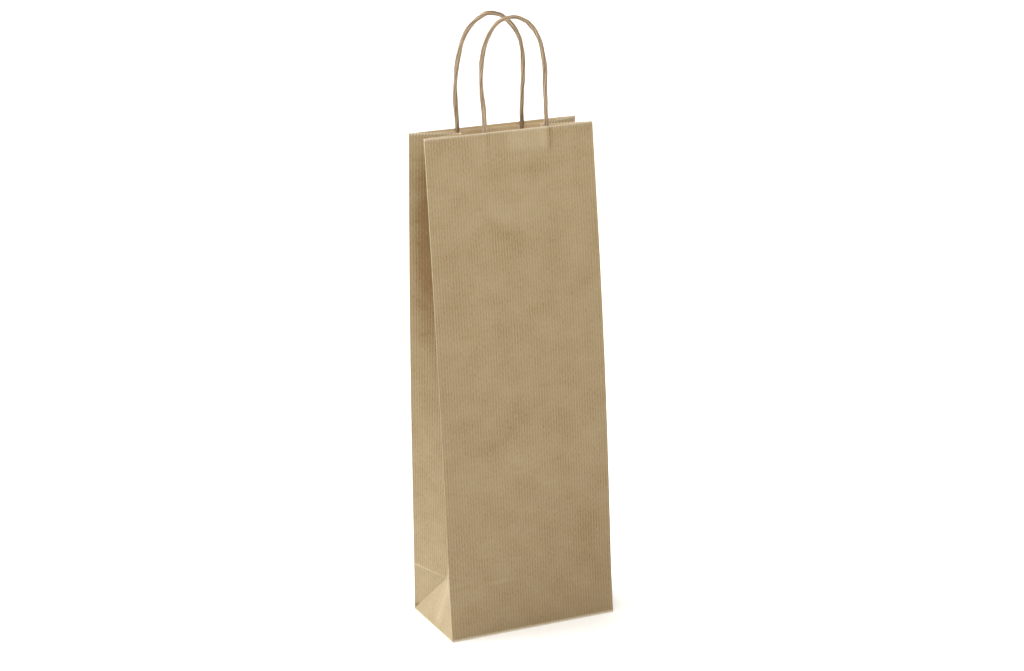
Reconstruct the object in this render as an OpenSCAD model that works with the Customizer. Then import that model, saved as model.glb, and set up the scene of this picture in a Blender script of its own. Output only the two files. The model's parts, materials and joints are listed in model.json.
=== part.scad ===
// Wine gift bag: a tall block-bottom bag of brown kraft paper with two twisted paper handles.
// +Z is up, +Y runs from the front wall to the back wall, and the bag stands on z = 0,
// with the origin under the middle of its base. All sizes are in millimetres.
// The paper is one creased sheet. Each flat panel between two creases is a sub-part of its own,
// and each crease that bends when the mouth opens is the axis of a hinge.

/* [Bag] */
// Width of the front and back walls
bag_w = 140; // [110:1:180]
// Depth of the base, which is also the width of one side gusset
bag_d = 80; // [60:1:100]
// Length of the walls from the base crease to the cut rim
bag_h = 395; // [330:1:420]
// Gap between the front and back rims as the bag stands
mouth_gap = 31; // [26:1:40]
// Thickness of the kraft paper
paper_t = 0.15; // [0.12:0.01:0.2]

/* [Travel] */
// Gap between the rims when the mouth is pulled open
open_gap = 60; // [50:1:64]
// Degrees that a gusset half turns for each degree that its wall leans
gusset_ratio = 12.4; // [11:0.1:13]

/* [Bottom and seam] */
// How far the front and back bottom flaps reach past the middle line
bottom_lap = 8; // [4:1:14]
// Length of the side tucks that are folded in before the flaps
tuck_l = 48; // [40:1:60]
// Width of the glued lap of the lengthwise seam
seam_w = 15; // [10:1:20]

/* [Handles] */
// Radius of the twisted paper cord
cord_r = 1.6; // [1.4:0.1:2]
// Height of the bend line of each handle over the rim
bend_rise = 2.1; // [2:0.1:3]
// Length of cord that is glued in below the rim
glued_l = 18; // [12:1:24]
// Width of the two paper strips that hold the cord ends
patch_w = 92; // [84:1:100]
// Height of those strips
patch_h = 32; // [26:1:45]
// Distance from the rim down to the top of the strips
patch_drop = 1.5; // [1:0.5:4]

/* [Hidden] */
// Lean of each wall from upright, at rest and with the mouth pulled open
lean = asin((bag_d - mouth_gap) / 2 / bag_h);
lean_open = asin((bag_d - open_gap) / 2 / bag_h);
rim_z = bag_h * cos(lean);
// Turn of the gusset halves when the mouth is pulled open
open_turn = gusset_ratio * (lean - lean_open);
// Room left between sheets that meet at a crease but belong to different moving pieces
crease_gap = 0.15;
// The gusset's crease lies this far inside the wall's outer face, clear of the seam's lap
hinge_in = 2 * paper_t + crease_gap;
// Distance from the base crease at which the walls and foot triangles begin
base_gap = 0.8;
// Distance of the bottom layers from the base creases
edge_in = 0.4;
// The foot triangle: its height is half the base's depth, and this is its lean and its tip's height
foot_r = bag_d / 2;
foot_lean = acos((1 - sin(lean)) / cos(lean));
foot_z = foot_r * cos(foot_lean);
// Room along the slanted creases, measured along the wall, on the triangle and on the gusset half
foot_room = 1.2;
gusset_room = 2.6;
gusset_rows = 14;
first_row_z = 4.5;
// How far the top of a gusset half stops short of the rim
rim_room = 0.01;
// Where the cord's middle lies inside the wall's outer face, just clear of the outer strip
cord_gap = 0.05;
cord_in = 2 * paper_t + cord_r + cord_gap;
// The glued ends are pressed a little thinner than the loop, with this room round them
end_room = 0.1;
end_r = cord_r - end_room;
// Half width of the hump that the inner strip makes over a glued end, and its steps
hump_w = 5;
hump_steps = 8;
// Route of each handle over the rim, as [x, height over the rim]: cords that were bent by hand
front_route = [[-20, 2.1], [-21, 18], [-22, 33], [-21, 46], [-19, 58], [-16.5, 67], [-12, 76], [-5, 82],
    [2.5, 85], [10.5, 84.5], [18, 80], [25, 73.5], [29, 65], [31, 56], [32, 45], [31.5, 32], [31, 17],
    [31, 2.1]];
back_route = [[-30, 2.1], [-31, 14], [-31.5, 29], [-30.5, 43], [-29, 56], [-25.5, 68.5], [-20, 78.5],
    [-12, 84.5], [-5, 87], [4.5, 85.5], [11.5, 81.5], [17.5, 75], [22, 66], [24.5, 54], [25, 38.5],
    [24.5, 24], [24, 10], [24, 2.1]];
// Flat sides of the cord, and slants of the rings that round its ends off
cord_sides = 8;
cap_slants = [30, 55, 80];
paper_colour = "#ab936c";
foot_colour = "#d8c8a8";
inside_colour = "#b99a6b";
cord_colour = "#b5a083";

// Half of the gap between the walls at height z, for a given lean
function half_gap(z, angle) = bag_d / 2 - z * tan(angle);
// Fold of a gusset half at height z: 0 when it lies across the bag, 90 when it lies on the wall
function fold_at(z) = acos(half_gap(z, lean) / half_gap(0, lean));
// Width of a gusset half at height z that stays clear of its mirror image over the whole travel
function clear_width(z) = min([for (k = [0:0.05:1])
    (half_gap(z, lean + k * (lean_open - lean)) - hinge_in - crease_gap - paper_t)
        / cos(fold_at(z) - k * open_turn)]);
// The gusset half is a flat triangle up to the foot triangle's tip, and a twisted strip above it
function half_width(z) = z < foot_z ? clear_width(foot_z) * z / foot_z - gusset_room : clear_width(z);
function half_fold(z) = fold_at(max(z, foot_z));

// Sheets drawn upright, with the outer face on y = 0, laid onto the leaning front wall
module on_front() {
    translate([0, -bag_d / 2, 0])
        rotate([-lean, 0, 0])
            children();
}

module on_back() {
    mirror([0, 1, 0])
        on_front()
            children();
}

module panel(colour) {
    color(colour)
        translate([-bag_w / 2, 0, base_gap])
            cube([bag_w, paper_t, bag_h - base_gap]);
}

module front_panel() {
    on_front() panel(paper_colour);
}

module back_panel() {
    on_back() panel(paper_colour);
}

// The sheet's glued lap, inside the back wall by its right edge
module seam_lap() {
    color(inside_colour)
        on_back()
            translate([bag_w / 2 - seam_w, paper_t, base_gap])
                cube([seam_w - crease_gap, paper_t, bag_h - base_gap]);
}

// One row of four points across the left front gusset half at height z
function gusset_row(z) =
    let (fold = half_fold(z), w = half_width(z), x = paper_t - bag_w / 2, y = hinge_in - half_gap(z, lean),
        along = [w * sin(fold), w * cos(fold), 0], out = [-paper_t * cos(fold), paper_t * sin(fold), 0])
    [[x, y, z], [x, y, z] + along, [x, y, z] + along + out, [x, y, z] + out];

module gusset_half() {
    top = rim_z - rim_room;
    zs = concat([first_row_z, foot_z],
        [for (i = [1:gusset_rows]) foot_z + (top - foot_z) * i / gusset_rows]);
    n = len(zs);
    points = [for (z = zs) each gusset_row(z)];
    // Both faces of the sheet are split along the same diagonals, from the crease to the hinge side
    sides = [for (i = [0:n - 2])
        let (a = 4 * i)
        each [[a, a + 4, a + 1], [a + 1, a + 4, a + 5], [a + 1, a + 5, a + 2], [a + 2, a + 5, a + 6],
            [a + 2, a + 6, a + 7], [a + 2, a + 7, a + 3], [a + 3, a + 7, a], [a, a + 7, a + 4]]];
    ends = [[0, 1, 2, 3], [4 * n - 1, 4 * n - 2, 4 * n - 3, 4 * n - 4]];
    color(paper_colour)
        polyhedron(points = points, faces = concat(sides, ends), convexity = 4);
}

module left_gusset_front() {
    gusset_half();
}

module left_gusset_back() {
    mirror([0, 1, 0]) gusset_half();
}

module right_gusset_front() {
    mirror([1, 0, 0]) gusset_half();
}

module right_gusset_back() {
    mirror([1, 0, 0]) mirror([0, 1, 0]) gusset_half();
}

// The triangle between the two slanted creases, which leans in from the base's short edge
module foot_triangle() {
    half_base = foot_r - foot_room - base_gap;
    color(foot_colour)
        translate([-bag_w / 2, 0, 0])
            rotate([0, foot_lean, 0])
                rotate([90, 0, 90])
                    linear_extrude(height = paper_t)
                        polygon([[-half_base, base_gap], [half_base, base_gap], [0, foot_r - foot_room]]);
}

module left_foot_triangle() {
    foot_triangle();
}

module right_foot_triangle() {
    mirror([1, 0, 0]) foot_triangle();
}

// The bottom is glued up from four layers: two side tucks inside, then the front and the back flap
module bottom_tuck() {
    color(inside_colour)
        translate([-bag_w / 2 + edge_in, -bag_d / 2 + edge_in, 2 * paper_t])
            cube([tuck_l, bag_d - 2 * edge_in, paper_t]);
}

module bottom_left_tuck() {
    bottom_tuck();
}

module bottom_right_tuck() {
    mirror([1, 0, 0]) bottom_tuck();
}

// A flap with its corners folded in at 45 degrees
module bottom_flap() {
    long_half = bag_w / 2 - edge_in;
    depth = bag_d / 2 - edge_in + bottom_lap;
    short_half = long_half - depth;
    color(paper_colour)
        linear_extrude(height = paper_t)
            polygon([[-long_half, edge_in - bag_d / 2], [long_half, edge_in - bag_d / 2],
                [short_half, bottom_lap], [-short_half, bottom_lap]]);
}

module bottom_front_flap() {
    translate([0, 0, paper_t]) bottom_flap();
}

module bottom_back_flap() {
    mirror([0, 1, 0]) bottom_flap();
}

// A point between p[i] and p[i + 1] on a smooth curve through all the points of p
function bend(p, i, t) =
    let (a = p[max(i - 1, 0)], b = p[i], c = p[i + 1], d = p[min(i + 2, len(p) - 1)])
    b + t * (c - a) / 2 + t * t * (a - 2.5 * b + 2 * c - d / 2) + t * t * t * (-a + 3 * b - 3 * c + d) / 2;

// A round cord with rounded ends along a route in the plane y = 0
module cord(route) {
    line = concat([for (i = [0:len(route) - 2], t = [0, 0.5]) bend(route, i, t)], [route[len(route) - 1]]);
    last = len(line) - 1;
    start_way = (line[1] - line[0]) / norm(line[1] - line[0]);
    end_way = (line[last] - line[last - 1]) / norm(line[last] - line[last - 1]);
    start_cap = [for (k = [len(cap_slants) - 1:-1:0])
        let (a = cap_slants[k]) [line[0] - cord_r * sin(a) * start_way, cord_r * cos(a)]];
    end_cap = [for (a = cap_slants) [line[last] + cord_r * sin(a) * end_way, cord_r * cos(a)]];
    rings = concat(start_cap, [for (p = line) [p, cord_r]], end_cap);
    n = len(rings);
    points = [for (i = [0:n - 1])
        let (way = rings[min(i + 1, n - 1)][0] - rings[max(i - 1, 0)][0], side = [way[1], -way[0]] / norm(way))
        for (k = [0:cord_sides - 1])
            let (a = 360 * k / cord_sides, p = rings[i][0] + rings[i][1] * cos(a) * side)
            [p[0], rings[i][1] * sin(a), p[1]]];
    skin = [for (i = [0:n - 2], k = [0:cord_sides - 1])
        let (a = i * cord_sides + k, b = i * cord_sides + (k + 1) % cord_sides)
        each [[a, b, a + cord_sides], [b, b + cord_sides, a + cord_sides]]];
    caps = [[for (k = [cord_sides - 1:-1:0]) k], [for (k = [0:cord_sides - 1]) (n - 1) * cord_sides + k]];
    color(cord_colour)
        translate([0, cord_in, bag_h])
            polyhedron(points = points, faces = concat(skin, caps), convexity = 6);
}

module front_handle() {
    on_front() cord(front_route);
}

module back_handle() {
    on_back() cord(back_route);
}

// The glued ends of a handle, which stop just over the rim, under the bend line
module handle_ends(route) {
    top = bend_rise - cord_r - end_room - crease_gap;
    color(cord_colour)
        for (p = [route[0], route[len(route) - 1]])
            translate([p[0], cord_in, bag_h - glued_l])
                cylinder(r = end_r, h = glued_l + top, $fn = 24);
}

module front_handle_ends() {
    on_front() handle_ends(front_route);
}

module back_handle_ends() {
    on_back() handle_ends(back_route);
}

function handle_middle(route) = (route[0][0] + route[len(route) - 1][0]) / 2;

// The flat strip between the wall and the cord
module outer_patch(route) {
    color(inside_colour)
        translate([handle_middle(route) - patch_w / 2, paper_t, bag_h - patch_drop - patch_h])
            cube([patch_w, paper_t, patch_h]);
}

// The strip on the bag's side of the cord, which rises over each glued end
function hump(x, leg) = abs(x - leg) < hump_w
    ? (2 * cord_r + end_room) * (1 + cos(180 * (x - leg) / hump_w)) / 2 : 0;

module inner_patch(route) {
    left = route[0][0];
    right = route[len(route) - 1][0];
    x0 = handle_middle(route) - patch_w / 2;
    legs = [for (leg = [left, right], k = [-hump_steps:hump_steps]) leg + k * hump_w / hump_steps];
    xs = concat([x0], legs, [x0 + patch_w]);
    low = [for (x = xs) [x, 2 * paper_t + hump(x, left) + hump(x, right)]];
    high = [for (i = [len(xs) - 1:-1:0]) low[i] + [0, paper_t]];
    color(inside_colour)
        translate([0, 0, bag_h - patch_drop - patch_h])
            linear_extrude(height = patch_h)
                polygon(concat(low, high));
}

module front_outer_patch() {
    on_front() outer_patch(front_route);
}

module front_inner_patch() {
    on_front() inner_patch(front_route);
}

module back_outer_patch() {
    on_back() outer_patch(back_route);
}

module back_inner_patch() {
    on_back() inner_patch(back_route);
}

front_panel();
back_panel();
seam_lap();
left_gusset_front();
left_gusset_back();
right_gusset_front();
right_gusset_back();
left_foot_triangle();
right_foot_triangle();
bottom_left_tuck();
bottom_right_tuck();
bottom_front_flap();
bottom_back_flap();
front_handle();
back_handle();
front_handle_ends();
back_handle_ends();
front_outer_patch();
front_inner_patch();
back_outer_patch();
back_inner_patch();
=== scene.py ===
"""A wine gift bag: kraft paper tube with folded gussets, block bottom and twisted paper handles."""
import json
import math

import bpy
import numpy as np
from mathutils import Matrix, Vector


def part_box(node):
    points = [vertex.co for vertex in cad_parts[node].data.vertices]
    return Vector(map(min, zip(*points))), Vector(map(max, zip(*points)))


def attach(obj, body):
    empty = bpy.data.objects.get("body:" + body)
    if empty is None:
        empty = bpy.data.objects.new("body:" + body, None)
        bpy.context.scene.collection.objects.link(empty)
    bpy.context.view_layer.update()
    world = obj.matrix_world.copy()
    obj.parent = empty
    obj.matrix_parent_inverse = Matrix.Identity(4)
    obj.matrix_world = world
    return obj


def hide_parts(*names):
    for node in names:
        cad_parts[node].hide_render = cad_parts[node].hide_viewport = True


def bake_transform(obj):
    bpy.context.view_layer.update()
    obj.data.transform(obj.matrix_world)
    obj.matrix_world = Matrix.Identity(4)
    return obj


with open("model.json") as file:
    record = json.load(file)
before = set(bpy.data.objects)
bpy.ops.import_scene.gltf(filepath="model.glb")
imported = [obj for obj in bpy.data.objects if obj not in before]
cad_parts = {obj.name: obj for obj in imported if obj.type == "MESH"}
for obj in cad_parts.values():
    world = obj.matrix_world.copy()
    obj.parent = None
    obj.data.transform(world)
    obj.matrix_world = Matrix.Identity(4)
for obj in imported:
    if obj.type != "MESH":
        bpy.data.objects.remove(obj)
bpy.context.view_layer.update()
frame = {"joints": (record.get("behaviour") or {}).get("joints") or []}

# ---------------------------------------------------------------------------------------------
# The view: a flat floor of white card, seen from the bag's left front and a little above, and lit
# by an overhead diffuser, a wide window behind on the left and a small softbox in front.
# ---------------------------------------------------------------------------------------------
AZIMUTH, ELEVATION, ROLL = (math.radians(a) for a in (-23.67, 15.0, -1.41))
AIM = Vector((0.00465, 0.0, 0.2294))
DISTANCE = 1.7710
LENS_MM = 79.5
BAG_MIDDLE = Vector((0.0, 0.0, 0.25))

away = Vector((
    math.sin(AZIMUTH) * math.cos(ELEVATION),
    -math.cos(AZIMUTH) * math.cos(ELEVATION),
    math.sin(ELEVATION),
))
right = (-away).cross(Vector((0, 0, 1))).normalized()
level = Matrix((right, right.cross(-away), away)).transposed().to_4x4()
camera = bpy.data.objects.new("camera", bpy.data.cameras.new("camera"))
camera.data.sensor_width = 36.0
camera.data.lens = LENS_MM
camera.data.clip_end = 50.0
camera.matrix_world = Matrix.Translation(AIM + DISTANCE * away) @ level @ Matrix.Rotation(ROLL, 4, "Z")
bpy.context.scene.collection.objects.link(camera)
bpy.context.scene.camera = camera
bpy.context.scene.view_settings.view_transform = "Standard"


def lamp(name, kind, place, strength, tint="fffdf8", **settings):
    """A light at place that looks at the middle of the bag."""
    made = bpy.data.lights.new(name, kind)
    made.energy = strength
    made.color = linear(tint)[:3]
    for key, value in settings.items():
        setattr(made, key, value)
    fitting = bpy.data.objects.new(name, made)
    fitting.matrix_world = Matrix.Translation(Vector(place)) @ (
        (Vector(place) - BAG_MIDDLE).to_track_quat("Z", "Y").to_matrix().to_4x4()
    )
    bpy.context.scene.collection.objects.link(fitting)


def linear(srgb):
    """An sRGB hex value, such as 'b39e7c', as the linear RGBA that Blender works in."""
    parts = [int(srgb[i : i + 2], 16) / 255 for i in (0, 2, 4)]
    return [p / 12.92 if p <= 0.04045 else ((p + 0.055) / 1.055) ** 2.4 for p in parts] + [1.0]


def add(tree, kind, inputs=None, **settings):
    """One node of a tree, with its settings, and each input set to a value or linked to a socket."""
    made = tree.nodes.new(kind)
    for key, value in settings.items():
        setattr(made, key, value)
    for key, value in (inputs or {}).items():
        if isinstance(value, bpy.types.NodeSocket):
            tree.links.new(value, made.inputs[key])
        else:
            made.inputs[key].default_value = value
    return made


def new_material(name):
    """An empty node material and its tree."""
    made = bpy.data.materials.new(name)
    made.use_nodes = True
    made.node_tree.nodes.clear()
    return made, made.node_tree


lamp("overhead_diffuser", "SUN", (0.0, 0.0, 2.0), 3.05, angle=math.radians(100))
lamp("window_behind_left", "SUN", (-1.4, 1.4, 1.05), 5.9, "e6f3fb", angle=math.radians(70))
lamp("front_softbox", "AREA", (-0.25, -0.75, 1.1), 4.3, size=0.5)

world = bpy.data.worlds.new("white_room")
world.use_nodes = True
world.node_tree.nodes["Background"].inputs["Color"].default_value = linear("ffffff")
world.node_tree.nodes["Background"].inputs["Strength"].default_value = 0.12
bpy.context.scene.world = world

# The floor is a tenth of a millimetre low, so that no face of the bag lies in its plane
FLOOR_REACH = 12.0
FLOOR_Z = -0.0001
floor_mesh = bpy.data.meshes.new("white_card_floor")
floor_mesh.from_pydata(
    [(x * FLOOR_REACH, y * FLOOR_REACH, FLOOR_Z) for x, y in ((-1, -1), (1, -1), (1, 1), (-1, 1))],
    [], [(0, 1, 2, 3)],
)
floor = bpy.data.objects.new("white_card_floor", floor_mesh)
bpy.context.scene.collection.objects.link(floor)
# White card: uncoated and matt, so it shows the bag's soft shadow and no reflection
card, tree = new_material("white_card")
card_shader = add(tree, "ShaderNodeBsdfDiffuse", {"Color": linear("fcfcfc")})
add(tree, "ShaderNodeOutputMaterial", {"Surface": card_shader.outputs[0]})
floor_mesh.materials.append(card)

# ---------------------------------------------------------------------------------------------
# The front wall: the face of one sheet of 110 g/m2 kraft paper, machine-ribbed on its outer side.
# The tube is cut off with a toothed knife, so its rim is serrated and shows pale torn fibres.
# It carries the marks of the work: the pressed-in handle patch, and a faint bar from the folder.
# ---------------------------------------------------------------------------------------------
# The sheet's thickness, the pitch of its ribs, the knife's teeth and slant, and how far a wall bows out.
# All sizes are in metres.
PAPER_T = 0.00018
RIB_PITCH = 0.00227
TOOTH_PITCH = 0.0024
TOOTH_DEPTH = 0.0010
CUT_SLANT = 0.0012
BOW_DEPTH = 0.0028
BOW_UNEVEN = 0.0012
ROLL_DEPTH = 0.00006
ROLL_W = 0.0008
# How wide the sheet is rubbed pale at its edges and side creases, at its other creases, and at old folds
EDGE_RUB_W = 0.0009
CREASE_RUB_W = 0.0010
FOLD_RUB_W = 0.0006

joints = {joint["name"]: joint for joint in frame["joints"]}
wall_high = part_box("front_panel")[1]
HALF_W = wall_high.x
HALF_D = abs(joints["mouth_front_wall"]["pos_m"][1])
LEAN = math.asin(abs(joints["left_gusset_front_fold"]["axis"][1]))
WALL_L = wall_high.z / math.cos(LEAN)


def kraft(name, pale, mid, dark, rib_mix, rib_bump):
    """Kraft paper. Long-fibred, unbleached and unglazed, so it is quite matt, with a cloudy look-through,
    fibres along the machine direction and a few dark specks. Ribbed, it has a light and a dark line each
    2.27 mm."""
    # Where sockets go by number: in Map Range, 0 is the value, 1 and 2 the range it comes from, and 3 and 4
    # the range it goes to. In Mix, 0 is the factor, and 6 and 7 the two colours.
    made, tree = new_material(name)
    flat = add(tree, "ShaderNodeUVMap", uv_map="sheet").outputs[0]
    # Cloudiness of the pulp, about 20 mm across
    cloud = add(tree, "ShaderNodeTexNoise", {
        "Vector": flat, "Scale": 48.0, "Detail": 4.0, "Roughness": 0.55,
    })
    # Fibres are 1 to 3 mm long and lie mostly along the height; drawn as coarse as they need to show
    stretched = add(tree, "ShaderNodeMapping", {"Vector": flat, "Scale": (1.0, 0.22, 1.0)})
    fibre = add(tree, "ShaderNodeTexNoise", {
        "Vector": stretched.outputs[0], "Scale": 1500.0, "Detail": 3.0, "Roughness": 0.7,
    })
    # Ribs: one sine across the sheet, that wanders by half a millimetre over about 30 mm
    across = add(tree, "ShaderNodeSeparateXYZ", {"Vector": flat})
    wander = add(tree, "ShaderNodeTexNoise", {"Vector": flat, "Scale": 30.0, "Detail": 1.0})
    shifted = add(tree, "ShaderNodeMath", {
        0: wander.outputs[0], 1: 0.0006, 2: across.outputs[0],
    }, operation="MULTIPLY_ADD")
    turns = add(tree, "ShaderNodeMath", {
        0: shifted.outputs[0], 1: 2 * math.pi / RIB_PITCH,
    }, operation="MULTIPLY")
    rib = add(tree, "ShaderNodeMath", {0: turns.outputs[0]}, operation="SINE")
    # The strength of each rib varies over 4 mm across the sheet and 17 mm along it
    patchy = add(tree, "ShaderNodeTexNoise", {
        "Vector": stretched.outputs[0], "Scale": 260.0, "Detail": 2.0,
    })
    rib_strength = add(tree, "ShaderNodeMapRange", {
        0: patchy.outputs[0], 1: 0.3, 2: 0.7, 3: 0.35 * rib_mix, 4: 1.3 * rib_mix,
    })
    rib_tone = add(tree, "ShaderNodeMath", {
        0: rib.outputs[0], 1: rib_strength.outputs[0],
    }, operation="MULTIPLY")
    fibre_tone = add(tree, "ShaderNodeMapRange", {
        0: fibre.outputs[0], 1: 0.25, 2: 0.75, 3: -0.3, 4: 0.3,
    })
    cloud_tone = add(tree, "ShaderNodeMapRange", {0: cloud.outputs[0], 1: 0.3, 2: 0.7, 3: 0.38, 4: 0.62})
    tone = add(tree, "ShaderNodeMath", {0: rib_tone.outputs[0], 1: cloud_tone.outputs[0]}, operation="ADD")
    tone = add(tree, "ShaderNodeMath", {0: tone.outputs[0], 1: fibre_tone.outputs[0]}, operation="ADD")
    # The tone attribute: the paper's own paler and darker places, and also painted light and shade
    tone_shift = add(tree, "ShaderNodeAttribute", attribute_name="tone")
    tone = add(tree, "ShaderNodeMath", {0: tone.outputs[0], 1: tone_shift.outputs["Fac"]}, operation="ADD")
    colour = add(tree, "ShaderNodeValToRGB", {0: tone.outputs[0]})
    colour.color_ramp.elements[0].position = 0.0
    colour.color_ramp.elements[0].color = linear(dark)
    colour.color_ramp.elements[1].position = 1.0
    colour.color_ramp.elements[1].color = linear(pale)
    colour.color_ramp.elements.new(0.5).color = linear(mid)
    # One cell in ten, each about 10 mm wide, holds a dark fibre speck under a millimetre across
    cells = add(tree, "ShaderNodeTexVoronoi", {"Vector": flat, "Scale": 95.0, "Randomness": 1.0})
    speck = add(tree, "ShaderNodeMapRange", {
        0: cells.outputs["Distance"], 1: 0.022, 2: 0.04, 3: 1.0, 4: 0.0,
    })
    chance = add(tree, "ShaderNodeSeparateColor", {"Color": cells.outputs["Color"]})
    rare = add(tree, "ShaderNodeMath", {0: chance.outputs[0], 1: 0.9}, operation="GREATER_THAN")
    speck = add(tree, "ShaderNodeMath", {0: speck.outputs[0], 1: rare.outputs[0]}, operation="MULTIPLY")
    speck = add(tree, "ShaderNodeMath", {0: speck.outputs[0], 1: 0.55}, operation="MULTIPLY")
    specked = add(tree, "ShaderNodeMix", {
        0: speck.outputs[0], 6: colour.outputs[0], 7: linear("6b4f2e"),
    }, data_type="RGBA")
    # Creases and cut edges are rubbed pale, unevenly. Along some creases this also holds painted highlights.
    wear_and_highlight = add(tree, "ShaderNodeAttribute", attribute_name="wear_and_highlight")
    rubbed = add(tree, "ShaderNodeMapRange", {0: fibre.outputs[0], 1: 0.3, 2: 0.65, 3: 0.7, 4: 1.0})
    rubbed = add(tree, "ShaderNodeMath", {
        0: wear_and_highlight.outputs["Fac"], 1: rubbed.outputs[0],
    }, operation="MULTIPLY")
    edged = add(tree, "ShaderNodeMix", {
        0: rubbed.outputs[0], 6: specked.outputs[2], 7: linear("f3e9d5"),
    }, data_type="RGBA")
    height = add(tree, "ShaderNodeMath", {
        0: rib.outputs[0], 1: rib_bump, 2: fibre_tone.outputs[0],
    }, operation="MULTIPLY_ADD")
    bump = add(tree, "ShaderNodeBump", {
        "Strength": 0.35, "Distance": 0.0001, "Height": height.outputs[0],
    })
    shader = add(tree, "ShaderNodeBsdfPrincipled", {
        "Base Color": edged.outputs[2], "Roughness": 0.82, "Specular IOR Level": 0.25,
        "Normal": bump.outputs[0],
    })
    add(tree, "ShaderNodeOutputMaterial", {"Surface": shader.outputs[0]})
    return made


# The ribs show on the outer side. The inner side is smoother, and painted paler for the light that shines
# through the paper and bounces inside the bag.
kraft_outside = kraft("ribbed_kraft_paper", "a89576", "988464", "816542", 0.17, 0.9)
kraft_inside_painted_light = kraft("kraft_paper_inner_side_painted_light", "dcc5a2", "d3ba93", "bfa378", 0.05, 0.15)


def paper_sheet(name, place, us, vs, flat, outward, wear_and_highlight, tone=None, papers=None):
    """One panel of paper. place(u, v) gives its outer face in space on the grid of us and vs, and
    flat(u, v) its place in the uncreased sheet. outward is roughly the way its outer face looks,
    worn(u, v) is how rubbed it is, with painted highlights along some creases, and tone(u, v) how much
    paler or darker, which holds painted light and shade as well as the paper's own tone. A corner
    that falls on another is left out of its face."""
    u, v = np.meshgrid(us, vs)
    points = place(u, v).reshape(-1, 3)
    flats = np.stack([part.ravel() for part in flat(u, v)], 1)
    wide = len(us)
    quads = []
    for row in range(len(vs) - 1):
        for column in range(wide - 1):
            start = row * wide + column
            ring = []
            for corner in (start, start + 1, start + wide + 1, start + wide):
                if all(np.linalg.norm(points[corner] - points[other]) > 1e-6 for other in ring):
                    ring.append(corner)
            if len(ring) > 2:
                quads.append(ring)
    first = points[quads[len(quads) // 2][:3]]
    if np.dot(np.cross(first[1] - first[0], first[2] - first[0]), outward) < 0:
        quads = [ring[::-1] for ring in quads]
    mesh = bpy.data.meshes.new(name)
    mesh.from_pydata(points.tolist(), [], quads)
    layer = mesh.uv_layers.new(name="sheet")
    corners = np.empty(len(mesh.loops), np.int32)
    mesh.loops.foreach_get("vertex_index", corners)
    layer.data.foreach_set("uv", flats[corners].astype(np.float32).ravel())
    rub = mesh.attributes.new("wear_and_highlight", "FLOAT", "POINT")
    rub.data.foreach_set("value", wear_and_highlight(u, v).astype(np.float32).ravel())
    tones = tone(u, v) if tone else np.zeros_like(u)
    shade = mesh.attributes.new("tone", "FLOAT", "POINT")
    shade.data.foreach_set("value", tones.astype(np.float32).ravel())
    mesh.polygons.foreach_set("use_smooth", [True] * len(mesh.polygons))
    # The sheet's borders stay crisp
    sides = np.empty(len(mesh.loops), np.int32)
    mesh.loops.foreach_get("edge_index", sides)
    border = mesh.attributes.new("sharp_edge", "BOOLEAN", "EDGE")
    border.data.foreach_set("value", np.bincount(sides, minlength=len(mesh.edges)) == 1)
    for paper in papers or (kraft_outside, kraft_inside_painted_light):
        mesh.materials.append(paper)
    mesh.validate()
    sheet = bpy.data.objects.new(name, mesh)
    bpy.context.scene.collection.objects.link(sheet)
    wall = sheet.modifiers.new("paper", "SOLIDIFY")
    wall.thickness = PAPER_T
    wall.offset = -1.0
    wall.material_offset = 1
    wall.material_offset_rim = 0
    return sheet


def dome(x, y, x0, y0, wide, high, turn=0.0):
    """A smooth hill of height 1 at (x0, y0), with half sizes wide and high, turned by degrees."""
    cosine, sine = math.cos(math.radians(turn)), math.sin(math.radians(turn))
    dx, dy = x - x0, y - y0
    return np.exp(-(((dx * cosine + dy * sine) / wide) ** 2) - ((dy * cosine - dx * sine) / high) ** 2)


def step(x, low, high):
    """0 below low, 1 above high, and smooth between."""
    share = np.clip((x - low) / (high - low), 0, 1)
    return share * share * (3 - 2 * share)


def on_wall(side, u, v, out):
    """A wall's own (u, v, out) in space. Side -1 is the front wall and 1 the back, and out is away from
    the bag."""
    y = side * (HALF_D - v * math.sin(LEAN) + out * math.cos(LEAN))
    return np.stack([u, y, v * math.cos(LEAN) + out * math.sin(LEAN)], -1)


def bow(side, u, v):
    """The standing walls bow outwards between the block bottom and the rim, and the front wall more so at
    its right."""
    most = BOW_DEPTH + (BOW_UNEVEN * u / HALF_W if side < 0 else 0.0)
    return most * np.sin(math.pi * np.clip((v - HALF_D) / (WALL_L - HALF_D), 0, 1))


def columns(half, pitch, edge):
    """Grid lines across a wall, a pitch apart, with extra ones close to its side creases."""
    count = round(2 * half / pitch)
    inner = np.linspace(-half, half, count + 1)
    by_creases = [-half + edge, half - edge, -half + 2 * edge, half - 2 * edge]
    return np.unique(np.concatenate([inner, by_creases]))


def rows(length, pitch, rim):
    """Grid lines up a wall, a pitch apart, closer under its cut rim."""
    below = np.linspace(0, length - 4 * rim, round(length / pitch))
    return np.concatenate([below, length - np.array([2, 1, 0]) * rim])


def cut(u, v, x=None):
    """The rim's grid line goes up and down in teeth, and the knife ran a little out of square, so the rim
    is CUT_SLANT higher at the right crease than at the left one. x is the place across the bag, where it
    isn't u."""
    teeth = np.abs((u / TOOTH_PITCH) % 1.0 - 0.5) * 4 - 1
    x = u if x is None else x
    slant = CUT_SLANT * (x + HALF_W) / (2 * HALF_W) * step(v, WALL_L - 0.02, WALL_L)
    return v + slant + np.where(v > WALL_L - 1e-6, teeth * TOOTH_DEPTH / 2, 0)


def roll_off(u, half):
    """The soft bend of the sheet into its side creases."""
    return -ROLL_DEPTH * step(np.abs(u), half - ROLL_W, half)


# Where the handles' legs are glued in, left and right
LEGS = {"front": (-0.020, 0.031), "back": (-0.030, 0.024)}


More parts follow.
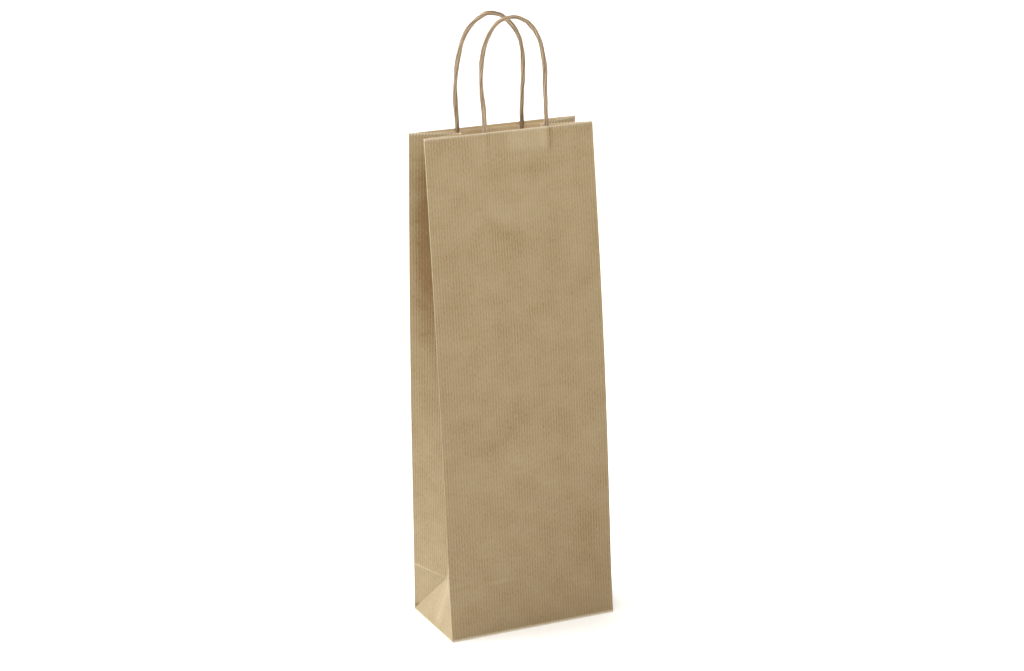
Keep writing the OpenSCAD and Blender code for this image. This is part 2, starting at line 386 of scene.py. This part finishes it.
def front_relief(u, v):
    """The front wall billows by under a millimetre, and shows what is glued behind it: the cord's legs,
    the patch and the end of its strip. A faint bar lies low on the left."""
    billow = (
        0.0007 * dome(u, v, -0.015, 0.27, 0.05, 0.05, 20)
        - 0.0006 * dome(u, v, 0.03, 0.33, 0.05, 0.035, 10)
        + 0.0006 * dome(u, v, 0.02, 0.20, 0.04, 0.05, -20)
        - 0.0006 * dome(u, v, -0.04, 0.15, 0.03, 0.06, 0)
        + 0.0008 * dome(u, v, 0.015, 0.10, 0.05, 0.03, 30)
        - 0.0008 * dome(u, v, 0.045, 0.075, 0.02, 0.05, 35)
    )
    left_leg, right_leg = LEGS["front"]
    depth = WALL_L - v
    legs = 0.0008 * dome(u, depth, right_leg, 0, 0.002, 1) * (1 - step(depth, 0.010, 0.020))
    legs = legs + 0.0006 * dome(u, depth, left_leg, 0, 0.002, 1) * (1 - step(depth, 0.008, 0.018))
    patch = 0.0002 * step(u, -0.006, 0.004) * (1 - step(u, 0.034, 0.040))
    patch = patch * (1 - step(depth, 0.0125, 0.016))
    strip_end = -0.00035 * dome(u, depth, 0.008, 0.031, 0.03, 0.003, -4)
    bar = 0.0003 * dome(u, v, -0.046, 0.0435, 0.03, 0.0011, -2)
    out = billow * step(HALF_W - np.abs(u), 0, 0.02) * step(v, 0, 0.03) + legs + patch + strip_end + bar
    return out + roll_off(u, HALF_W) + bow(-1, u, v)


def front_surface(u, v):
    """The front wall's outer face, up to its cut rim."""
    return on_wall(-1, u, cut(u, v), front_relief(u, v))


def near_cut(v):
    """1 at the cut rim, and 0 from 1.6 mm under it."""
    return step(v, WALL_L - 0.0016, WALL_L - 0.0004)


def rim_wear(u, v):
    """The cut shows pale torn fibres, most of all on the tips of the teeth."""
    tip = 2 * np.abs((u / TOOTH_PITCH) % 1.0 - 0.5)
    return tip ** 1.5 * near_cut(v)


def wall_wear(u, v):
    """The side creases, the base crease and the cut rim are rubbed. The left side crease is paler than the
    right as a painted highlight, and the base crease's pale line is partly a painted highlight.
    """
    patchy = 0.75 + 0.25 * np.sin(v * 70) * np.sin(v * 190 + 1)
    # The side creases are rubbed; the left one is paler than the right as a painted highlight
    sides = (0.11 - 0.05 * np.sign(u)) * patchy * (1 - step(HALF_W - np.abs(u), 0.0, EDGE_RUB_W))
    # The base crease is rubbed, and its pale line is partly a painted highlight
    foot = 0.8 * (1 - step(v, 0.0, CREASE_RUB_W))
    return np.maximum(np.maximum(sides, foot), rim_wear(u, v))


def front_tone_and_painted_shading(u, v):
    """Over the handle patch the wall is paler. Painted light and shade: the lit left side of the right
    leg's ridge and the shaded right sides of both legs' ridges, shade in the dent at the strip's end, and
    the shading of slow undulations lower down, paler high up and darker a little towards the foot's right
    corner. The bar is a pale line with painted shade just under it."""
    depth = WALL_L - v
    left_leg, right_leg = LEGS["front"]
    tone_shift = 0.30 * step(u, -0.005, 0.003) * (1 - step(u, 0.028, 0.032))
    tone_shift = tone_shift * (1 - step(depth, 0.0125, 0.017))
    # Painted light and shade on the legs' ridges: lit on the left of the right leg, shaded on the right of
    # both legs
    lit_and_shaded_sides = 0.20 * (1 - step(depth, 0.012, 0.022)) * (
        dome(u, depth, right_leg - 0.0035, 0, 0.0025, 1)
        - 1.5 * dome(u, depth, right_leg + 0.0025, 0, 0.0017, 1)
        - 0.6 * dome(u, depth, left_leg + 0.0015, 0, 0.0013, 1)
    )
    # Painted shade in the dent where the strip ends
    strip_end = -0.20 * dome(u, depth, 0.009, 0.031, 0.022, 0.0045, -4)
    # Painted light and shade of slow undulations: paler high up, darker towards the foot's right corner
    painted_undulation_shading = (
        0.10 * dome(u, depth, 0.0, 0.060, 0.045, 0.007, -6)
        - 0.16 * dome(u, depth, -0.006, 0.079, 0.017, 0.009, 25)
        - 0.10 * dome(u, v, 0.045, 0.085, 0.035, 0.02, 40)
        - 0.10 * dome(u, v, 0.055, 0.045, 0.03, 0.02, 0)
        + 0.08 * dome(u, v, -0.02, 0.13, 0.05, 0.012, 20)
        - 0.08 * dome(u, v, 0.0, 0.165, 0.06, 0.012, 15)
        + 0.10 * dome(u, v, 0.0, 0.36, 0.08, 0.04, 0)
    )
    # The bar: a pale line, with painted shade just under it
    bar = (
        0.5 * dome(u, v, -0.046, 0.0435, 0.024, 0.0008, -2)
        - 0.3 * dome(u, v, -0.040, 0.0415, 0.020, 0.0009, -2)
    )
    return tone_shift + lit_and_shaded_sides + strip_end + painted_undulation_shading + bar


wall_us = columns(HALF_W, TOOTH_PITCH / 2, edge=0.0004)
wall_vs = rows(WALL_L, pitch=0.0025, rim=0.0006)
front_wall = paper_sheet(
    "front_wall_sheet", front_surface, wall_us, wall_vs,
    lambda u, v: (u, v), (0, -1, 0), wall_wear, front_tone_and_painted_shading,
)
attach(front_wall, "front_wall")
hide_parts("front_panel")

# ---------------------------------------------------------------------------------------------
# The back wall and the glued lap: the same sheet. The lap is the sheet's own free edge, 15 mm wide,
# stuck to the inside of the back wall, and the wall keeps the crease that the flat bag had.
# ---------------------------------------------------------------------------------------------
# Each panel has its own part of the paper's pattern: this moves the back wall's along the sheet
BACK_SHIFT = 0.22
# The old crease of the flat bag lies half a base depth up
FOLD_V = HALF_D


def back_relief(u, v):
    """The back wall billows too. Its flat-fold crease stands out, and the lap shows as a low step."""
    billow = (
        0.0006 * dome(u, v, 0.0, 0.26, 0.05, 0.06, 0)
        - 0.0006 * dome(u, v, -0.02, 0.16, 0.04, 0.05, 15)
        + 0.0007 * dome(u, v, 0.03, 0.33, 0.04, 0.04, 0)
    )
    lap = 0.00016 * step(u, HALF_W - 0.0165, HALF_W - 0.0150)
    left_leg, right_leg = LEGS["back"]
    depth = WALL_L - v
    legs = 0.0007 * (dome(u, depth, left_leg, 0, 0.0022, 1) + dome(u, depth, right_leg, 0, 0.0022, 1))
    legs = legs * (1 - step(depth, 0.010, 0.020))
    fold = 0.0005 * np.exp(-np.abs(v - FOLD_V) / 0.006)
    out = billow * step(HALF_W - np.abs(u), 0, 0.02) * step(v, 0, 0.03) + lap + legs + fold
    return out + roll_off(u, HALF_W) + bow(1, u, v)


def back_surface(u, v):
    """The back wall's outer face, up to its cut rim."""
    return on_wall(1, u, cut(u, v), back_relief(u, v))


def back_wear(u, v):
    """As on the front, with the rubbed line of the flat-fold crease."""
    return np.maximum(wall_wear(u, v), 0.25 * np.exp(-((v - FOLD_V) / FOLD_RUB_W) ** 2))


back_vs = np.unique(np.concatenate([wall_vs, FOLD_V + np.array([-0.0006, 0, 0.0006])]))
back_wall = paper_sheet(
    "back_wall_sheet", back_surface, wall_us, back_vs,
    lambda u, v: (u + BACK_SHIFT, v), (0, 1, 0), back_wear,
)
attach(back_wall, "back_wall")
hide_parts("back_panel")

LAP_W = 0.015
LAP_INSET = 0.0006
LAP_DROP = 0.0004
LAP_DEPTH = PAPER_T * 1.1


def lap_surface(u, v):
    """The lap lies on the back wall's inner face, a little in from the side crease, and is cut a little
    lower than the wall, so that the two rims don't meet in one line."""
    x = HALF_W - LAP_INSET - u
    height = cut(u, v, x) - LAP_DROP * (v > WALL_L - 0.001)
    return on_wall(1, x, height, back_relief(x, v) - LAP_DEPTH)


lap = paper_sheet(
    "glued_seam_lap", lap_surface, np.linspace(0, LAP_W, 13), wall_vs,
    lambda u, v: (u, v), (0, 1, 0),
    lambda u, v: 0.6 * step(u, LAP_W - 0.0015, LAP_W - 0.0003),
)
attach(lap, "back_wall")
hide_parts("seam_lap")

# ---------------------------------------------------------------------------------------------
# The side gussets: the sheet between the walls, creased down its middle and folded in. As the walls lean
# together the crease goes deeper, so each half is a gently twisted strip. At the foot, two slanted
# creases leave a triangle that stands on the base, and the back half keeps the flat-fold crease.
# ---------------------------------------------------------------------------------------------
FOOT_LEAN = math.acos((1 - math.sin(LEAN)) / math.cos(LEAN))
# The foot triangle's tip, as (x, z), and the height of the centre crease's end, just under the rim
TIP = (-HALF_W + HALF_D * math.sin(FOOT_LEAN), HALF_D * math.cos(FOOT_LEAN))
CREASE_TOP = WALL_L * math.cos(LEAN) - 0.0009
# How far the front half goes on past the centre crease, and how far it turns there
BEND_W = 0.0018
BEND_TURN = math.radians(50)


def crease_inset(z, way):
    """How far the centre crease lies inside the walls' side edges at height z."""
    bulge = (bow(-1, way * HALF_W, z) + bow(1, way * HALF_W, z)) / 2
    return np.sqrt(np.maximum(HALF_D ** 2 - (HALF_D - z * math.tan(LEAN) + bulge) ** 2, 0))


def gusset_surface(side, way):
    """The left gusset's half by the front (side -1) or back (side 1) wall, on the sheet's own u and v: u
    runs from the wall's edge to the centre crease, and the half starts at the slanted crease. The right
    gusset (way 1) is its mirror image, but for the cut rim and the walls' bow. Past the centre crease the
    front half goes on a little round the bend."""
    def place(u, v):
        past = np.maximum(u - HALF_D, 0.0)
        u = np.minimum(u, HALF_D)
        share = u / HALF_D
        v = cut(u, v, np.full_like(u, way * HALF_W))
        edge = on_wall(side, np.full_like(v, -HALF_W), v, bow(side, way * HALF_W, v))
        z = TIP[1] + (v - HALF_D) * (CREASE_TOP - TIP[1]) / (WALL_L - HALF_D)
        crease = np.stack([-HALF_W + crease_inset(z, way), np.zeros_like(z), z], -1)
        above = edge + share[..., None] * (crease - edge)
        across = (edge - crease) * np.array([1.0, -1.0, 1.0])
        across /= np.linalg.norm(across, axis=-1, keepdims=True)
        cosine, sine = math.cos(BEND_TURN), math.sin(BEND_TURN)
        turned = np.stack([
            across[..., 0] * cosine + across[..., 1] * sine,
            across[..., 1] * cosine - across[..., 0] * sine,
            across[..., 2],
        ], -1)
        above = above + past[..., None] * turned
        low = np.array([-HALF_W, side * HALF_D, 0.0])
        tip = np.array([TIP[0], 0.0, TIP[1]])
        high = np.array([-HALF_W, side * (HALF_D - HALF_D * math.sin(LEAN)), HALF_D * math.cos(LEAN)])
        over = np.maximum(v, u)
        below = low + ((over - u) / HALF_D)[..., None] * (high - low) + share[..., None] * (tip - low)
        return np.where((v < HALF_D - 1e-9)[..., None], below, above)
    return place


def gusset_wear(side):
    """Rubbed along the wall's edge, the centre crease, the slanted crease and the cut rim, and on the
    back half also along the flat-fold crease."""
    def wear_and_highlight(u, v):
        edge = 0.2 * (1 - step(u, 0.0, EDGE_RUB_W))
        centre = 0.32 * (1 - step(HALF_D - u, 0.0, CREASE_RUB_W))
        slant = 0.16 * (1 - step(v - u, 0.0, CREASE_RUB_W)) * (v < HALF_D)
        fold = 0.24 * (1 - 0.6 * u / HALF_D) * np.exp(-((v - FOLD_V) / FOLD_RUB_W) ** 2) * (side > 0)
        end = 0.9 * near_cut(v) * step(u, HALF_D - 0.005, HALF_D - 0.002)
        return np.maximum.reduce([edge, centre, slant, fold, end, rim_wear(u, v)])
    return wear_and_highlight


def gusset_painted_light_and_shade(side):
    """Painted shade: the back half is darker where the fold is deepest, and in its pinched foot.
    Painted light: just under the rim it is paler."""
    def tone(u, v):
        # Painted shade deep in the fold and at the pinched foot, and painted light just under the rim
        painted_fold_shade = 0.55 * step(u, 0.0, 0.013) * dome(0, v, 0, 0.305, 1, 0.070)
        painted_foot_shade = 0.7 * dome(u, v, 0.003, 0.0045, 0.004, 0.0022, 30)
        return (0.30 * step(v, WALL_L - 0.022, WALL_L - 0.004) - painted_fold_shade - painted_foot_shade) * (side > 0)
    return tone


# Up to HALF_D the two grids are the same, so that the slanted crease runs from corner to corner
half_us = np.unique(np.concatenate([
    np.linspace(0, HALF_D, 34), [0.0004, 0.0008, HALF_D - 0.0008, HALF_D - 0.0004],
]))
half_vs = np.concatenate([
    half_us, HALF_D + np.array([0.0004, 0.0008, 0.0014]),
    rows(WALL_L - HALF_D, pitch=0.003, rim=0.0006)[1:] + HALF_D,
])
bent_us = np.append(half_us, HALF_D + np.array([0.3, 0.65, 1.0]) * BEND_W)


def mirrored(place, way):
    """A surface that is made for the left of the bag (way -1), or its mirror image on the right (way 1)."""
    def flipped(u, v):
        return place(u, v) * np.array([-way, 1.0, 1.0])
    return flipped


# Each half has its own part of the paper's pattern.
for hand, way in (("left", -1), ("right", 1)):
    for place_name, side in (("front", -1), ("back", 1)):
        half = paper_sheet(
            f"{hand}_gusset_{place_name}_half", mirrored(gusset_surface(side, way), way),
            bent_us if side < 0 else half_us, half_vs,
            lambda u, v: (u + 0.3 + 0.1 * way + 0.05 * side, np.maximum(v, u)), (way, 0.3 * side, 0),
            gusset_wear(side), gusset_painted_light_and_shade(side),
        )
        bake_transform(half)
        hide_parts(f"{hand}_gusset_{place_name}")


# The part of the paper's pattern for the foot triangles and the tucks under them
FOOT_SHIFT = 0.5
GHOST_HEIGHT = 0.0011


def foot_surface(u, v):
    """The foot triangle: u runs along the base's short edge from -HALF_D to HALF_D, and v up to the tip."""
    tip = np.array([TIP[0], 0.0, TIP[1]])
    base = np.stack([np.full_like(u, -HALF_W), u * (1 - v / HALF_D), np.zeros_like(u)], -1)
    risen = base + (v / HALF_D)[..., None] * (tip - np.array([-HALF_W, 0.0, 0.0]))
    # The ghost of the centre crease stands a little proud
    ridge = GHOST_HEIGHT * np.exp(-np.abs(base[..., 1]) / 0.005) * (v / HALF_D) * (1 - v / HALF_D) * 4
    return risen + ridge[..., None] * np.array([-math.cos(FOOT_LEAN), 0.0, math.sin(FOOT_LEAN)])


def foot_wear(u, v):
    """Rubbed along the base and the slanted creases."""
    slant = 0.16 * (1 - step((HALF_D - np.abs(u)) * (1 - v / HALF_D), 0.0, CREASE_RUB_W))
    return np.maximum(slant, 0.5 * (1 - step(v, 0.0, CREASE_RUB_W)))


def foot_painted_light_and_shade(u, v):
    """Painted highlight: a paler streak beside the ghost crease, on the side of the front wall, and a little
    painted shade on its other side.
    """
    y = u * (1 - v / HALF_D)
    # Painted highlight beside the ghost crease, and a touch of painted shade on its other side
    streak = 0.35 * np.exp(-(((y + 0.0045) / 0.0045) ** 2)) * step(v, 0.002, 0.01)
    return streak - 0.02 * step(y, 0.0, 0.004)


foot_us = np.linspace(-HALF_D, HALF_D, 65)
foot_vs = np.linspace(0.0, HALF_D, 33)
for hand, way in (("left", -1), ("right", 1)):
    foot = paper_sheet(
        f"{hand}_foot_sheet", mirrored(foot_surface, way), foot_us, foot_vs,
        lambda u, v: (u * (1 - v / HALF_D) + FOOT_SHIFT, v), (way, 0, 0.3), foot_wear, foot_painted_light_and_shade,
    )
    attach(foot, f"{hand}_foot")
    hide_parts(f"{hand}_foot_triangle")

# ---------------------------------------------------------------------------------------------
# The block bottom: the foot of the tube, folded flat and glued. Two side tucks lie inside, then the front
# flap, and the back flap outside. The flaps' corners are folded in at 45 degrees, so each is a trapezoid.
# ---------------------------------------------------------------------------------------------
def bottom_wear(u, v):
    """Rubbed along the cut edge, and scuffed a little where the bag stands."""
    return 0.55 * step(np.abs(v), 0.97, 0.995) * (v < 0) + 0.12


for flap, side, level_z in (("front", -1, PAPER_T), ("back", 1, 0.0)):
    flap_low, flap_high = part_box(f"bottom_{flap}_flap")
    long_half = flap_high.x
    depth = flap_high.y - flap_low.y
    crease_y = max(flap_high.y, -flap_low.y)

    def flap_surface(u, v):
        """u is a share of the half width, and v runs from 1 at the crease to -1 at the cut edge."""
        back = (1 - v) / 2 * depth
        x = u * (long_half - back)
        return np.stack([x, side * (crease_y - back), np.full_like(x, level_z)], -1)

    def flap_flat(u, v):
        """The flap carries on from its wall, below the base crease."""
        back = (1 - v) / 2 * depth
        return u * (long_half - back) + (BACK_SHIFT if side > 0 else 0.0), -back

    bottom = paper_sheet(
        f"bottom_{flap}_flap_sheet", flap_surface, np.linspace(-1, 1, 57), np.linspace(-1, 1, 25),
        flap_flat, (0, 0, -1), bottom_wear,
    )
    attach(bottom, "base")
    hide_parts(f"bottom_{flap}_flap")

for hand, way in (("left", -1), ("right", 1)):
    tuck_low, tuck_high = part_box(f"bottom_{hand}_tuck")
    tuck_in, tuck_out = sorted((abs(tuck_low.x), abs(tuck_high.x)))
    tuck = paper_sheet(
        f"bottom_{hand}_tuck_sheet",
        lambda u, v: np.stack([way * v, u, np.full_like(u, 2 * PAPER_T)], -1),
        np.linspace(tuck_low.y, tuck_high.y, 25), np.linspace(tuck_in, tuck_out, 17),
        lambda u, v: (u + FOOT_SHIFT, v), (0, 0, -1),
        lambda u, v: 0.5 * (1 - step(v, tuck_in + 0.0003, tuck_in + 0.0012)),
    )
    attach(tuck, "base")
    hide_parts(f"bottom_{hand}_tuck")

# ---------------------------------------------------------------------------------------------
# The handle patches: two strips of plain kraft paper for each handle, glued together with the cord's ends
# between them, and glued inside the wall just under its rim. The inner strip rises over the cord.
# ---------------------------------------------------------------------------------------------
CORD_R = 0.0016
# Half the width of the hump that the inner strip makes over a cord's end
HUMP_W = 0.0048
HUMP_CLEAR = 0.00005
# Plain kraft: not ribbed, and paler than the outer side of the bag, in part painted light for the light that
# shines through the paper and bounces inside the bag
patch_paper_painted_light = kraft("plain_kraft_patch", "ddc7a5", "d5bd98", "c2a67f", 0.0, 0.0)


def patch_wear(u, v):
    """The strips are cut on all sides."""
    border = np.minimum.reduce([u - u.min(), u.max() - u, v - v.min(), v.max() - v])
    return 0.5 * (1 - step(border, 0.0, EDGE_RUB_W))


for place_name, side, relief in (("front", -1, front_relief), ("back", 1, back_relief)):
    ends_low, ends_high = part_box(f"{place_name}_handle_ends")
    legs = (ends_low.x + CORD_R, ends_high.x - CORD_R)
    strip_low, strip_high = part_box(f"{place_name}_outer_patch")
    strip_us = np.unique(np.concatenate([
        np.linspace(strip_low.x, strip_high.x, 47),
        *[leg + np.linspace(-HUMP_W, HUMP_W, 19) for leg in legs],
    ]))
    strip_vs = np.linspace(strip_low.z, strip_high.z, 15) / math.cos(LEAN)
    # layers_in is a strip's depth inside the wall's outer face, in thicknesses of paper
    for layer, layers_in in (("outer", 1.05), ("inner", 2.15)):
        def strip_surface(u, v):
            """The strip follows the wall's inner face, and the inner one goes round the cord's ends."""
            inward = np.full_like(u, layers_in * PAPER_T)
            if layer == "inner":
                for leg in legs:
                    near = np.clip(np.abs(u - leg) / HUMP_W, 0, 1)
                    inward += (2 * CORD_R + HUMP_CLEAR) * (1 + np.cos(math.pi * near)) / 2
            return on_wall(side, u, v, relief(u, v) - inward)

        strip = paper_sheet(
            f"{place_name}_{layer}_strip", strip_surface, strip_us, strip_vs,
            lambda u, v: (v + 0.9, u), (0, side, 0), patch_wear,
            papers=(patch_paper_painted_light, patch_paper_painted_light),
        )
        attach(strip, f"{place_name}_wall")
        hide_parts(f"{place_name}_{layer}_patch")

# ---------------------------------------------------------------------------------------------
# The handles: cords twisted from a strip of kraft paper, each bent to a loop, with both ends glued in below
# the rim. The twist is slack, so a cord is an uneven oval that turns slowly, with ridges along it.
# ---------------------------------------------------------------------------------------------
# How far the cord's middle lies inside the wall's outer face
CORD_IN = 0.00195
RIDGES = 5.0
# Each loop's line, as (x, height over the rim) in millimetres from its left foot to its right foot
LOOPS = {
    "front": [
        (-19.4, -18), (-19.4, -6), (-19.4, 2.1), (-19.8, 18), (-20.6, 33), (-20.1, 46), (-18.4, 57.5),
        (-15.8, 66.2), (-11, 74.9), (-4.2, 81.8), (3.5, 84.5), (11.5, 84.5), (20, 80.2), (26.3, 72.6),
        (29.8, 64.5), (31.5, 55.8), (32.6, 45), (32, 32), (31.9, 17), (31.8, 2.1), (31.8, -6), (31.8, -18),
    ],
    "back": [
        (-30.8, -18), (-30.8, -6), (-30.8, 2.1), (-31.7, 14), (-32.4, 29), (-31.6, 43), (-29.7, 55.6),
        (-26.1, 67.8), (-20.6, 77.5), (-12.4, 84.3), (-5, 87.2), (4.6, 85.6), (11, 80.8), (16.9, 74.2),
        (21.4, 65.5), (23.7, 53.8), (24.1, 38.5), (23.5, 24), (23.1, 10), (23.2, 2.1), (23.2, -6), (23.2, -18),
    ],
}


def cord_material():
    """Twisted kraft paper: matt, with streaks that turn with the cord. Painted light and shade: paler on its
    ridges and darker in the hollows between them.
    """
    made, tree = new_material("twisted_paper_cord")
    turn = add(tree, "ShaderNodeAttribute", attribute_name="turn").outputs["Vector"]
    # Streaks about 10 mm long and half a millimetre wide, and flecks about 1 mm long
    stretched = add(tree, "ShaderNodeMapping", {"Vector": turn, "Scale": (2.2, 2.2, 60.0)})
    streak = add(tree, "ShaderNodeTexNoise", {
        "Vector": stretched.outputs[0], "Scale": 1.6, "Detail": 4.0,
    })
    fibre = add(tree, "ShaderNodeMapping", {"Vector": turn, "Scale": (6.0, 6.0, 700.0)})
    fine = add(tree, "ShaderNodeTexNoise", {"Vector": fibre.outputs[0], "Scale": 1.6, "Detail": 2.0})
    # Painted light and shade: the ridge attribute makes the cord paler on its ridges and darker between them
    lit_and_shaded_sides = add(tree, "ShaderNodeAttribute", attribute_name="ridge")
    tone = add(tree, "ShaderNodeMapRange", {0: streak.outputs[0], 1: 0.32, 2: 0.68, 3: 0.1, 4: 0.9})
    tone = add(tree, "ShaderNodeMath", {
        0: lit_and_shaded_sides.outputs["Fac"], 1: 0.22, 2: tone.outputs[0],
    }, operation="MULTIPLY_ADD")
    fleck = add(tree, "ShaderNodeMapRange", {0: fine.outputs[0], 1: 0.3, 2: 0.7, 3: -0.15, 4: 0.15})
    tone = add(tree, "ShaderNodeMath", {0: tone.outputs[0], 1: fleck.outputs[0]}, operation="ADD")
    colour = add(tree, "ShaderNodeValToRGB", {0: tone.outputs[0]})
    colour.color_ramp.elements[0].color = linear("644a33")
    colour.color_ramp.elements[1].color = linear("b39c7d")
    bump = add(tree, "ShaderNodeBump", {"Strength": 0.4, "Distance": 0.0002, "Height": tone.outputs[0]})
    shader = add(tree, "ShaderNodeBsdfPrincipled", {
        "Base Color": colour.outputs[0], "Roughness": 0.7, "Normal": bump.outputs[0],
    })
    add(tree, "ShaderNodeOutputMaterial", {"Surface": shader.outputs[0]})
    return made


def cord_nodes(material):
    """Geometry Nodes that lay a ridged, slowly turning oval along a curve."""
    tree = bpy.data.node_groups.new("twisted_cord", "GeometryNodeTree")
    sockets = tree.interface
    sockets.new_socket("Geometry", in_out="INPUT", socket_type="NodeSocketGeometry")
    sockets.new_socket("Geometry", in_out="OUTPUT", socket_type="NodeSocketGeometry")
    for title, value in (
        ("Width", 0.0037), ("Thickness", 0.0031), ("Twist Pitch", 0.085), ("Step", 0.0009),
        ("Ridge", 0.035), ("Seed", 0.0),
    ):
        sockets.new_socket(title, in_out="INPUT", socket_type="NodeSocketFloat").default_value = value
    given = add(tree, "NodeGroupInput").outputs
    # The line, cut into equal steps
    line = add(tree, "GeometryNodeResampleCurve", {
        "Curve": given["Geometry"], "Length": given["Step"],
    }, mode="LENGTH")
    along = add(tree, "GeometryNodeSplineParameter").outputs["Length"]
    # Slack twist: the turn runs ahead and behind over about 45 mm, and the cord swells and thins by an
    # eighth over about 20 mm
    where = add(tree, "ShaderNodeCombineXYZ", {"X": along, "Y": given["Seed"]})
    slack = add(tree, "ShaderNodeTexNoise", {"Vector": where.outputs[0], "Scale": 22.0, "Detail": 1.0})
    turns = add(tree, "ShaderNodeMath", {0: along, 1: given["Twist Pitch"]}, operation="DIVIDE")
    turns = add(tree, "ShaderNodeMath", {0: turns.outputs[0], 1: slack.outputs[0]}, operation="ADD")
    tilt = add(tree, "ShaderNodeMath", {0: turns.outputs[0], 1: 2 * math.pi}, operation="MULTIPLY")
    tilted = add(tree, "GeometryNodeSetCurveTilt", {"Curve": line.outputs[0], "Tilt": tilt.outputs[0]})
    swell = add(tree, "ShaderNodeTexNoise", {"Vector": where.outputs[0], "Scale": 45.0, "Detail": 2.0})
    radius = add(tree, "ShaderNodeMapRange", {0: swell.outputs[0], 1: 0.3, 2: 0.7, 3: 0.88, 4: 1.12})
    swollen = add(tree, "GeometryNodeSetCurveRadius", {
        "Curve": tilted.outputs[0], "Radius": radius.outputs[0],
    })
    rail = add(tree, "GeometryNodeStoreNamedAttribute", {
        "Geometry": swollen.outputs[0], "Name": "along", "Value": along,
    }, data_type="FLOAT", domain="POINT")
    # The section: a ridged oval. It starts as a ring of radius 1, so its halves are Width / 2 and
    # Thickness / 2.
    ring = add(tree, "GeometryNodeCurvePrimitiveCircle", {"Resolution": 28, "Radius": 1.0})
    angle = add(tree, "ShaderNodeMath", {
        0: add(tree, "GeometryNodeSplineParameter").outputs["Factor"], 1: 2 * math.pi,
    }, operation="MULTIPLY")
    ridges = add(tree, "ShaderNodeMath", {0: angle.outputs[0], 1: RIDGES}, operation="MULTIPLY")
    wave = add(tree, "ShaderNodeMath", {0: ridges.outputs[0]}, operation="COSINE")
    ridge = add(tree, "ShaderNodeMath", {
        0: wave.outputs[0], 1: given["Ridge"], 2: 0.5,
    }, operation="MULTIPLY_ADD")
    unit = add(tree, "GeometryNodeInputPosition")
    size = add(tree, "ShaderNodeCombineXYZ", {"X": given["Width"], "Y": given["Thickness"]})
    oval = add(tree, "ShaderNodeVectorMath", {
        0: unit.outputs[0], 1: size.outputs[0],
    }, operation="MULTIPLY")
    ridged = add(tree, "ShaderNodeVectorMath", {
        0: oval.outputs[0], "Scale": ridge.outputs[0],
    }, operation="SCALE")
    marked = add(tree, "GeometryNodeStoreNamedAttribute", {
        "Geometry": ring.outputs[0], "Name": "ridge", "Value": wave.outputs[0],
    }, data_type="FLOAT", domain="POINT")
    rounded = add(tree, "GeometryNodeStoreNamedAttribute", {
        "Geometry": marked.outputs[0], "Name": "around", "Value": unit.outputs[0],
    }, data_type="FLOAT_VECTOR", domain="POINT")
    section = add(tree, "GeometryNodeSetPosition", {
        "Geometry": rounded.outputs[0], "Position": ridged.outputs[0],
    })
    skin = add(tree, "GeometryNodeCurveToMesh", {
        "Curve": rail.outputs[0], "Profile Curve": section.outputs[0], "Fill Caps": True,
        "Scale": add(tree, "GeometryNodeInputRadius").outputs[0],
    })
    # The material's place on the cord: the unturned ring in x and y, and the length along it in z
    length = add(tree, "GeometryNodeInputNamedAttribute", {"Name": "along"}, data_type="FLOAT")
    spot = add(tree, "GeometryNodeInputNamedAttribute", {"Name": "around"}, data_type="FLOAT_VECTOR")
    lift = add(tree, "ShaderNodeCombineXYZ", {"Z": length.outputs[0]})
    turn = add(tree, "ShaderNodeVectorMath", {0: spot.outputs[0], 1: lift.outputs[0]}, operation="ADD")
    keyed = add(tree, "GeometryNodeStoreNamedAttribute", {
        "Geometry": skin.outputs[0], "Name": "turn", "Value": turn.outputs[0],
    }, data_type="FLOAT_VECTOR", domain="POINT")
    smooth = add(tree, "GeometryNodeSetShadeSmooth", {"Geometry": keyed.outputs[0]})
    real = add(tree, "GeometryNodeRealizeInstances", {"Geometry": smooth.outputs[0]})
    finished = add(tree, "GeometryNodeSetMaterial", {
        "Geometry": real.outputs[0], "Material": material,
    })
    add(tree, "NodeGroupOutput", {"Geometry": finished.outputs[0]})
    return tree


def smooth_line(points, steps=6):
    """Points on a Catmull-Rom curve through all the given ones, with so many steps between two."""
    line = []
    last = len(points) - 1
    for i in range(last):
        before, start, end, after = (points[min(max(i + k, 0), last)] for k in (-1, 0, 1, 2))
        for k in range(steps):
            share = k / steps
            line.append(
                start + share * (end - before) / 2
                + share * share * (before - 2.5 * start + 2 * end - after / 2)
                + share ** 3 * (-before + 3 * start - 3 * end + after) / 2
            )
    return np.array(line + [points[-1]])


paper_cord = cord_material()
cord_tree = cord_nodes(paper_cord)
for place_name, side, seed in (("front", -1, 3.0), ("back", 1, 7.0)):
    across, over_rim = smooth_line(np.array(LOOPS[place_name], float) / 1000).T
    along = WALL_L + over_rim
    track = on_wall(side, across, along, bow(side, across, along) - CORD_IN)
    curve = bpy.data.curves.new(f"{place_name}_handle_line", "CURVE")
    curve.dimensions = "3D"
    spline = curve.splines.new("POLY")
    spline.points.add(len(track) - 1)
    weighted = np.column_stack([track, np.ones(len(track))])
    spline.points.foreach_set("co", weighted.astype(np.float32).ravel())
    guide = bpy.data.objects.new(f"{place_name}_handle_line", curve)
    bpy.context.scene.collection.objects.link(guide)
    twist = guide.modifiers.new("twist", "NODES")
    twist.node_group = cord_tree
    for item in cord_tree.interface.items_tree:
        if item.name == "Seed":
            twist[item.identifier] = seed
    bpy.context.view_layer.update()
    mesh = bpy.data.meshes.new_from_object(guide.evaluated_get(bpy.context.evaluated_depsgraph_get()))
    mesh.name = f"{place_name}_twisted_cord"
    bpy.data.objects.remove(guide)
    handle = bpy.data.objects.new(f"{place_name}_twisted_cord", mesh)
    bpy.context.scene.collection.objects.link(handle)
    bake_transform(handle)
    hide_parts(f"{place_name}_handle", f"{place_name}_handle_ends")
